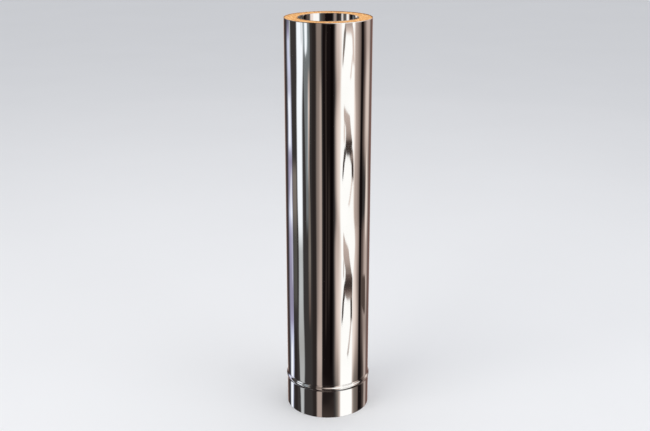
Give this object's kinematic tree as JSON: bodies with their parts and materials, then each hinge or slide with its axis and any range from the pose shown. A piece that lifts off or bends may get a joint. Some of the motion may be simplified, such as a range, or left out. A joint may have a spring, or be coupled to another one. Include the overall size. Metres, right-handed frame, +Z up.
{
  "type": "double-wall chimney pipe section",
  "caption": "Straight insulated double-wall stainless chimney pipe section: polished outer shell with a beaded socket, mineral wool, and an inner flue pipe with a spigot.",
  "frame": {"origin": "centre of the lower rim, on the pipe's axis, at the level that the section stands on", "axes": "+Z up along the pipe's axis, from the socket end to the plain end; +X and +Y across it"},
  "size_m": [0.225, 0.225, 1.05],
  "materials": {
    "shell_steel": "mirror-polished stainless steel sheet",
    "mineral_wool": "bonded mineral wool, golden brown",
    "flue_steel": "bright stainless steel sheet"
  },
  "bodies": {
    "root": {"outer_shell": "shell_steel", "insulation": "mineral_wool", "flue_pipe": "flue_steel"}
  },
  "joints": []
}
